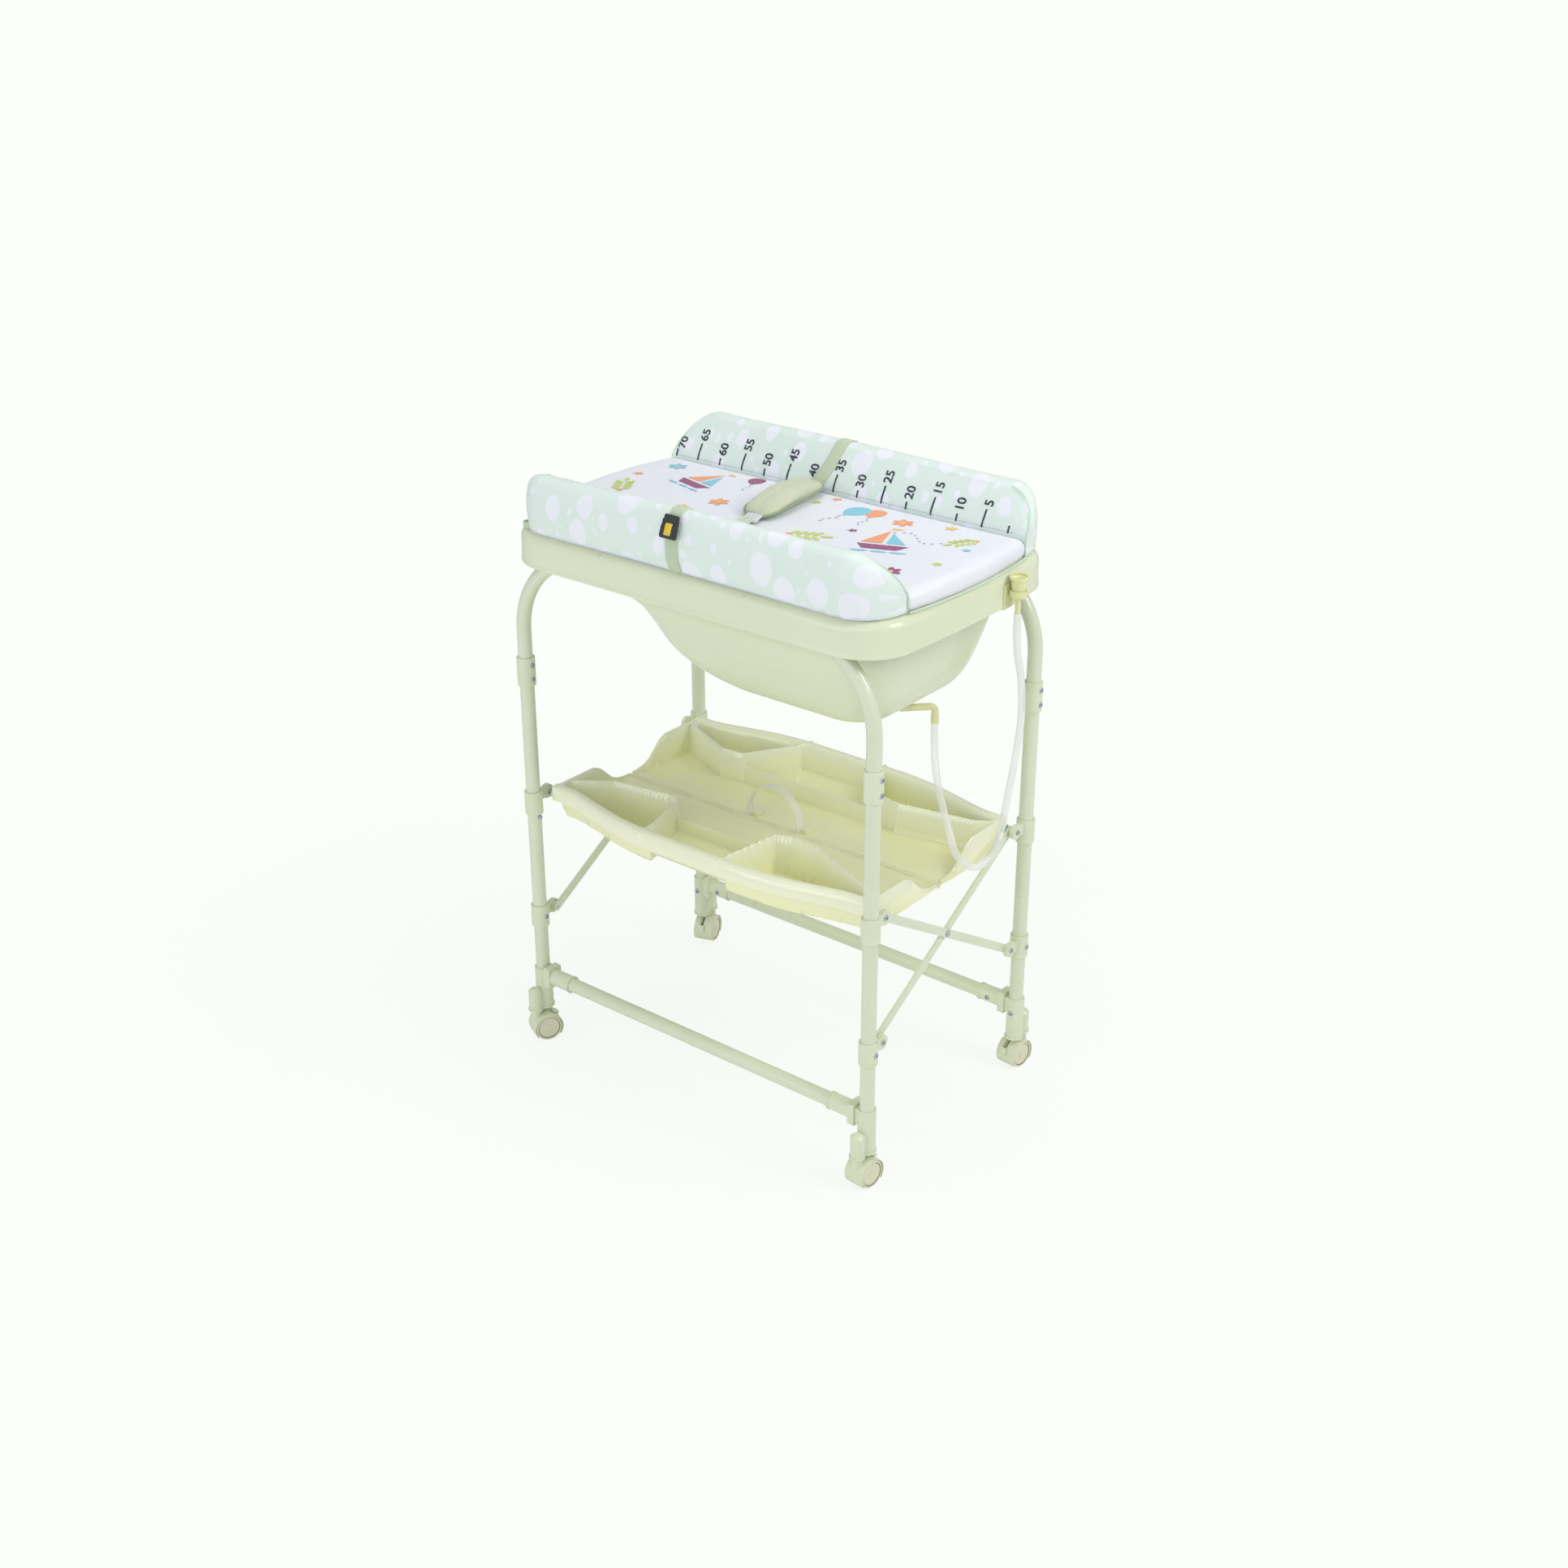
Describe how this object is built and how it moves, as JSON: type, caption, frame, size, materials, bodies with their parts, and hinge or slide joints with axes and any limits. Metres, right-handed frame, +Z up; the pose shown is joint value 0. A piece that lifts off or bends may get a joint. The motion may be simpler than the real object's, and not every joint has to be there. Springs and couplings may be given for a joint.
{
  "type": "changing table with bathtub",
  "caption": "Folding baby changing table: tub in a tube frame on braked casters, mat with bolsters and harness on top, hinged storage tray below, clear drain hose.",
  "frame": {"origin": "on the floor, at the centre of the rectangle of the four legs", "axes": "+X along the table's length towards the drain end, +Z up, -Y is the front where the user stands"},
  "size_m": [0.8181, 0.5288, 1.0941],
  "materials": {
    "cream_paint": "satin powder coat",
    "cream_plastic": "satin moulded",
    "tub_plastic": "glossy moulded",
    "tray_plastic": "glossy moulded, slightly translucent",
    "wheel_plastic": "satin moulded",
    "cup_plastic": "glossy moulded",
    "clear_pvc": "clear soft tube",
    "zinc": "zinc plated",
    "mat_vinyl": "printed soft vinyl",
    "bolster_vinyl": "printed soft vinyl",
    "green_webbing": "woven",
    "buckle_plastic": "moulded"
  },
  "bodies": {
    "back_frame": {"back_upper_tube": "cream_paint", "back_left_leg": "cream_paint", "back_right_leg": "cream_paint", "back_leg_sleeves": "cream_plastic", "back_foot_mouldings": "cream_plastic", "back_bottom_bar": "cream_paint", "back_bar_ends": "cream_plastic", "back_fixed_collars": "cream_plastic", "back_frame_screws": "zinc"},
    "scissor_b": {"left_brace_b": "cream_paint", "right_brace_b": "cream_paint", "cross_rivets": "zinc"},
    "scissor_a": {"left_brace_a": "cream_paint", "right_brace_a": "cream_paint"},
    "front_frame": {"front_upper_tube": "cream_paint", "front_left_leg": "cream_paint", "front_right_leg": "cream_paint", "front_leg_sleeves": "cream_plastic", "front_foot_mouldings": "cream_plastic", "front_bottom_bar": "cream_paint", "front_bar_ends": "cream_plastic", "front_fixed_collars": "cream_plastic", "front_frame_screws": "zinc"},
    "front_slider": {"front_slide_collars": "cream_plastic", "front_slider_screws": "zinc"},
    "back_slider": {"back_slide_collars": "cream_plastic", "back_slider_screws": "zinc"},
    "tray_back": {"tray_back_half": "tray_plastic", "back_tray_tube": "cream_paint", "tray_pull_strap": "clear_pvc", "tray_hinge_pin": "zinc"},
    "tray_front": {"tray_front_half": "tray_plastic", "front_tray_tube": "cream_paint"},
    "tub": {"tub_shell": "tub_plastic", "drain_nut": "tub_plastic", "drain_elbow": "tub_plastic", "drain_hose": "clear_pvc", "hose_cup": "cup_plastic", "hose_clip": "cup_plastic"},
    "mat": {"mat_pad": "mat_vinyl", "front_bolster": "bolster_vinyl", "back_bolster": "bolster_vinyl", "harness_straps": "green_webbing", "harness_pad": "green_webbing", "harness_buckle": "buckle_plastic"},
    "left_button": {"left_snap_button": "zinc"},
    "right_button": {"right_snap_button": "zinc"},
    "front_left_caster": {"front_left_caster_hood": "cream_plastic"},
    "front_left_caster_wheels_body": {"front_left_caster_wheels": "wheel_plastic"},
    "front_left_caster_brake_body": {"front_left_caster_brake": "cream_plastic"},
    "front_right_caster": {"front_right_caster_hood": "cream_plastic"},
    "front_right_caster_wheels_body": {"front_right_caster_wheels": "wheel_plastic"},
    "front_right_caster_brake_body": {"front_right_caster_brake": "cream_plastic"},
    "back_left_caster": {"back_left_caster_hood": "cream_plastic"},
    "back_left_caster_wheels_body": {"back_left_caster_wheels": "wheel_plastic"},
    "back_left_caster_brake_body": {"back_left_caster_brake": "cream_plastic"},
    "back_right_caster": {"back_right_caster_hood": "cream_plastic"},
    "back_right_caster_wheels_body": {"back_right_caster_wheels": "wheel_plastic"},
    "back_right_caster_brake_body": {"back_right_caster_brake": "cream_plastic"}
  },
  "joints": [
    {"name": "frame_fold", "type": "hinge", "parent": "back_frame", "child": "scissor_b", "pos_m": [0, 0.19, 0.254], "axis": [-1, 0, 0], "range_deg": [0, 40]},
    {"name": "brace_cross", "type": "hinge", "parent": "scissor_b", "child": "scissor_a", "pos_m": [0, 0, 0.3695], "axis": [1, 0, 0], "range_deg": [0, 81]},
    {"name": "front_low_pivot", "type": "hinge", "parent": "scissor_a", "child": "front_frame", "pos_m": [0, -0.19, 0.254], "axis": [-1, 0, 0], "range_deg": [0, 41]},
    {"name": "front_slide_pivot", "type": "hinge", "parent": "scissor_b", "child": "front_slider", "pos_m": [0, -0.19, 0.485], "axis": [1, 0, 0], "range_deg": [0, 41]},
    {"name": "back_slide_pivot", "type": "hinge", "parent": "scissor_a", "child": "back_slider", "pos_m": [0, 0.19, 0.485], "axis": [-1, 0, 0], "range_deg": [0, 41]},
    {"name": "tray_back_pivot", "type": "hinge", "parent": "back_slider", "child": "tray_back", "pos_m": [0, 0.19, 0.485], "axis": [-1, 0, 0], "range_deg": [0, 79]},
    {"name": "tray_seam", "type": "hinge", "parent": "tray_back", "child": "tray_front", "pos_m": [0, 0, 0.452], "axis": [1, 0, 0], "range_deg": [0, 157]},
    {"name": "tub_lift", "type": "slide", "parent": "back_frame", "child": "tub", "axis": [0, 0, 1], "range_m": [0, 0.7]},
    {"name": "mat_lift", "type": "slide", "parent": "tub", "child": "mat", "axis": [0, 0, 1], "range_m": [0, 0.25]},
    {"name": "left_button_press", "type": "slide", "parent": "front_frame", "child": "left_button", "axis": [-1, 0, 0], "range_m": [0, 0.004], "stiffness_N_per_m": 700},
    {"name": "right_button_press", "type": "slide", "parent": "front_frame", "child": "right_button", "axis": [1, 0, 0], "range_m": [0, 0.004], "stiffness_N_per_m": 700},
    {"name": "front_left_swivel", "type": "hinge", "parent": "front_frame", "child": "front_left_caster", "pos_m": [-0.369, -0.2485, 0.06], "axis": [0, 0, 1], "continuous": true},
    {"name": "front_left_roll", "type": "hinge", "parent": "front_left_caster", "child": "front_left_caster_wheels_body", "pos_m": [-0.36111, -0.23232, 0.025], "axis": [0.8988, -0.4384, 0], "continuous": true},
    {"name": "front_left_brake", "type": "hinge", "parent": "front_left_caster", "child": "front_left_caster_brake_body", "pos_m": [-0.36111, -0.23232, 0.025], "axis": [0.8988, -0.4384, 0], "range_deg": [-35, 0]},
    {"name": "front_right_swivel", "type": "hinge", "parent": "front_frame", "child": "front_right_caster", "pos_m": [0.369, -0.2485, 0.06], "axis": [0, 0, 1], "continuous": true},
    {"name": "front_right_roll", "type": "hinge", "parent": "front_right_caster", "child": "front_right_caster_wheels_body", "pos_m": [0.37088, -0.2306, 0.025], "axis": [0.9945, -0.1045, 0], "continuous": true},
    {"name": "front_right_brake", "type": "hinge", "parent": "front_right_caster", "child": "front_right_caster_brake_body", "pos_m": [0.37088, -0.2306, 0.025], "axis": [0.9945, -0.1045, 0], "range_deg": [-35, 0]},
    {"name": "back_left_swivel", "type": "hinge", "parent": "back_frame", "child": "back_left_caster", "pos_m": [-0.369, 0.2485, 0.06], "axis": [0, 0, 1], "continuous": true},
    {"name": "back_left_roll", "type": "hinge", "parent": "back_left_caster", "child": "back_left_caster_wheels_body", "pos_m": [-0.36344, 0.23138, 0.025], "axis": [-0.9511, -0.309, 0], "continuous": true},
    {"name": "back_left_brake", "type": "hinge", "parent": "back_left_caster", "child": "back_left_caster_brake_body", "pos_m": [-0.36344, 0.23138, 0.025], "axis": [-0.9511, -0.309, 0], "range_deg": [0, 35]},
    {"name": "back_right_swivel", "type": "hinge", "parent": "back_frame", "child": "back_right_caster", "pos_m": [0.369, 0.2485, 0.06], "axis": [0, 0, 1], "continuous": true},
    {"name": "back_right_roll", "type": "hinge", "parent": "back_right_caster", "child": "back_right_caster_wheels_body", "pos_m": [0.36712, 0.2306, 0.025], "axis": [-0.9945, 0.1045, 0], "continuous": true},
    {"name": "back_right_brake", "type": "hinge", "parent": "back_right_caster", "child": "back_right_caster_brake_body", "pos_m": [0.36712, 0.2306, 0.025], "axis": [-0.9945, 0.1045, 0], "range_deg": [0, 35]}
  ],
  "couplings": [
    {"joint": "brace_cross", "follows": "frame_fold", "ratio": 2},
    {"joint": "front_low_pivot", "follows": "frame_fold", "ratio": 1},
    {"joint": "front_slide_pivot", "follows": "frame_fold", "ratio": 1},
    {"joint": "back_slide_pivot", "follows": "frame_fold", "ratio": 1},
    {"joint": "tray_back_pivot", "follows": "frame_fold", "ratio": 1.95},
    {"joint": "tray_seam", "follows": "frame_fold", "ratio": 3.9},
    {"joint": "tub_lift", "follows": "frame_fold", "m_per_rad": 1}
  ]
}
